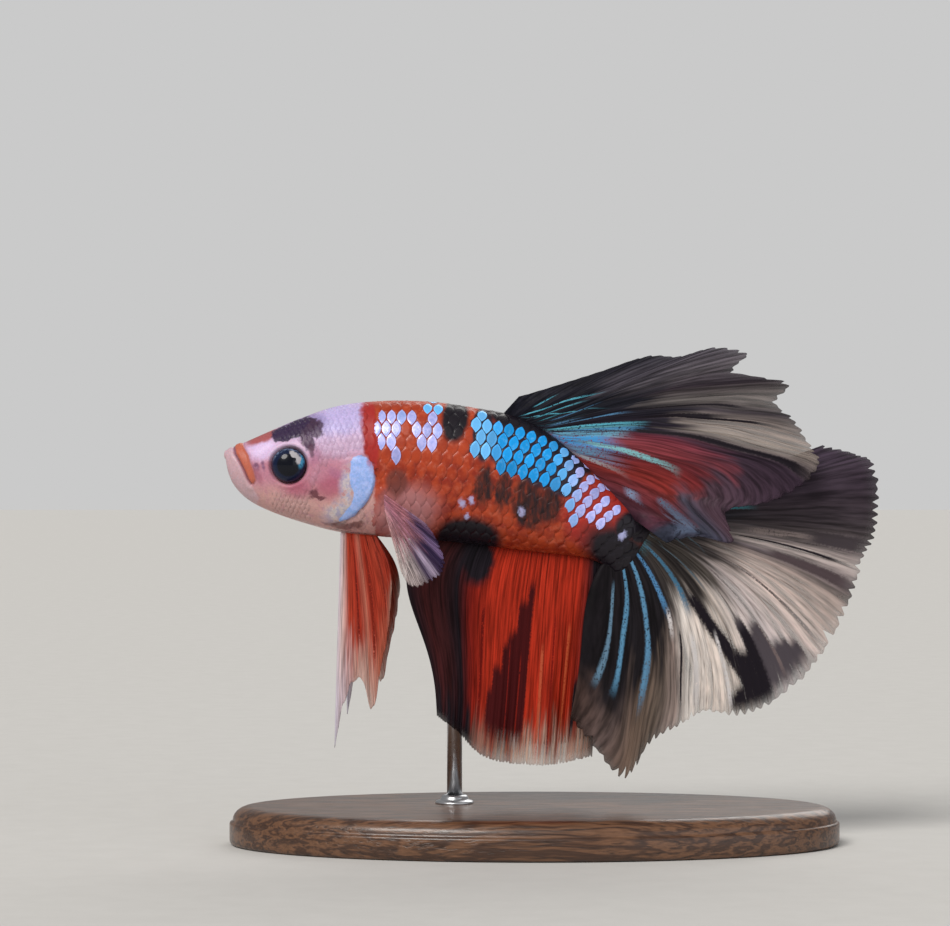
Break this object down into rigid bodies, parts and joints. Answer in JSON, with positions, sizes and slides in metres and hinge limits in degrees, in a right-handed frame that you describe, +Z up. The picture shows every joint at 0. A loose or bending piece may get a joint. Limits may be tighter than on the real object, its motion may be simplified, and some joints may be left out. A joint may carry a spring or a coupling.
{
  "type": "halfmoon betta fish display model",
  "caption": "Life-size still model of a halfmoon betta fish with wide spread fins, held over an oval wooden base by a thin rod.",
  "frame": {"origin": "on the underside of the stand's base, below the middle of the fish's length", "axes": "-X is where the fish heads, -Y is its left side, +Z is up"},
  "size_m": [0.0691, 0.034, 0.0521],
  "materials": {
    "head_skin": "smooth pink-lilac skin",
    "lip_skin": "orange lip",
    "gill_cover": "pale blue, satin",
    "eye": "wet black",
    "trunk_scales": "orange-red scales with blue, lilac and black patches",
    "stalk_scales": "near-black scales",
    "dorsal_membrane": "dark translucent membrane with blue streaks",
    "anal_membrane": "orange-red rayed membrane",
    "caudal_membrane": "smoky rayed membrane with cream windows",
    "pelvic_membrane": "red membrane with a white leading ray",
    "pectoral_membrane": "rose translucent membrane",
    "walnut": "oiled walnut",
    "rod_steel": "brushed steel"
  },
  "bodies": {
    "root": {"head": "head_skin", "upper_lip": "lip_skin", "lower_jaw": "head_skin", "gill_cover_left": "gill_cover", "gill_cover_right": "gill_cover", "eye_left": "eye", "eye_right": "eye", "trunk": "trunk_scales", "tail_stalk": "stalk_scales", "dorsal_fin": "dorsal_membrane", "anal_fin": "anal_membrane", "caudal_fin": "caudal_membrane", "pelvic_fin_left": "pelvic_membrane", "pelvic_fin_right": "pelvic_membrane", "pectoral_fin_left": "pectoral_membrane", "pectoral_fin_right": "pectoral_membrane", "stand_base": "walnut", "stand_rod": "rod_steel"}
  },
  "joints": []
}
